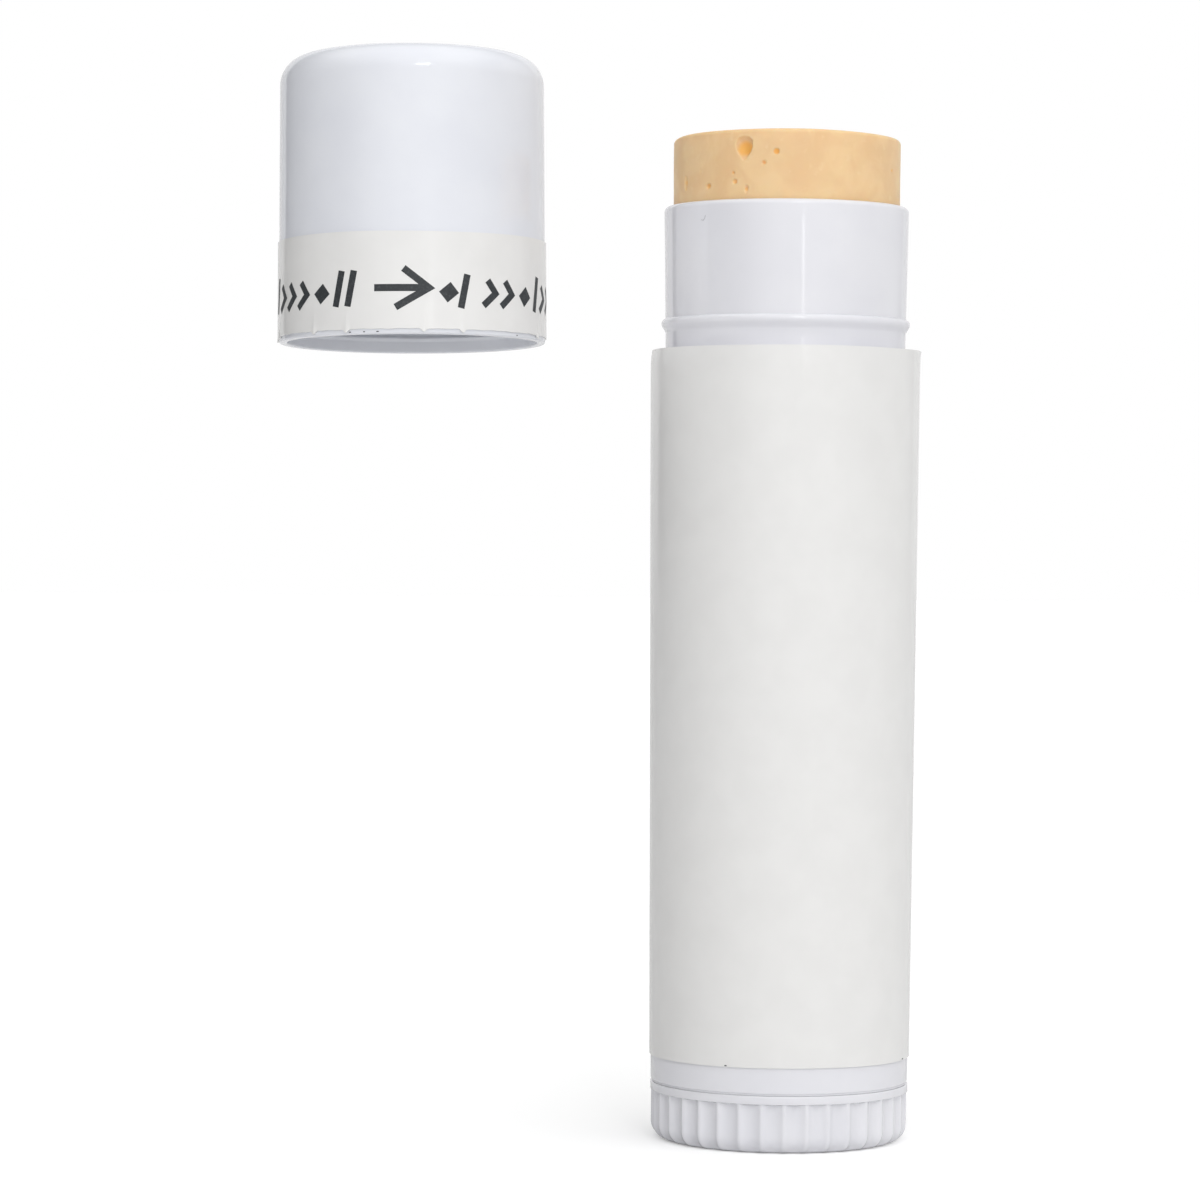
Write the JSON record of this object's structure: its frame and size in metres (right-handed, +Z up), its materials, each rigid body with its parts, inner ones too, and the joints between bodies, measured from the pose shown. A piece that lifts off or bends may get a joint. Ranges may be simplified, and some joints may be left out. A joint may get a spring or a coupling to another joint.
{
  "type": "sunscreen stick",
  "caption": "Twist-up sunscreen stick: slim tube with a ribbed base wheel, screw and carrier that raise a wax stick, plain wrap label, and a pull-off cap shown beside the neck.",
  "frame": {"origin": "middle of the wheel's underside, on the tube's axis, where the stick stands", "axes": "+Z up along the tube's axis to the wax, the cap hangs on the -X side, -Y faces the viewer"},
  "size_m": [0.0388, 0.0165, 0.0652],
  "materials": {
    "tube_plastic": "glossy bluish white moulded polypropylene",
    "cap_plastic": "glossy bluish white moulded polypropylene",
    "label_film": "satin warm white wrap film with plain dark grey marks on the seal band",
    "wax": "cream to peach sunscreen wax, softly marbled, with small casting hollows"
  },
  "bodies": {
    "tube": {"barrel": "tube_plastic", "barrel_label": "label_film"},
    "wheel_and_screw": {"twist_wheel": "tube_plastic"},
    "carrier_and_wax": {"carrier": "tube_plastic", "wax_stick": "wax"},
    "loose_cap": {"cap": "cap_plastic", "seal_band": "label_film"}
  },
  "joints": [
    {"name": "wheel_twist", "type": "hinge", "parent": "tube", "child": "wheel_and_screw", "pos_m": [0, 0, 0.0035], "axis": [0, 0, 1], "range_deg": [-324.5, 2430.5]},
    {"name": "carrier_slide", "type": "slide", "parent": "tube", "child": "carrier_and_wax", "axis": [0, 0, 1], "range_m": [-0.0045, 0.03375]},
    {"name": "cap_pull", "type": "slide", "parent": "tube", "child": "loose_cap", "axis": [-0.0096, 0.0262, 0.9996], "range_m": [0, 0.015]}
  ],
  "couplings": [
    {"joint": "wheel_twist", "follows": "carrier_slide", "rad_per_m": 1256.6}
  ]
}
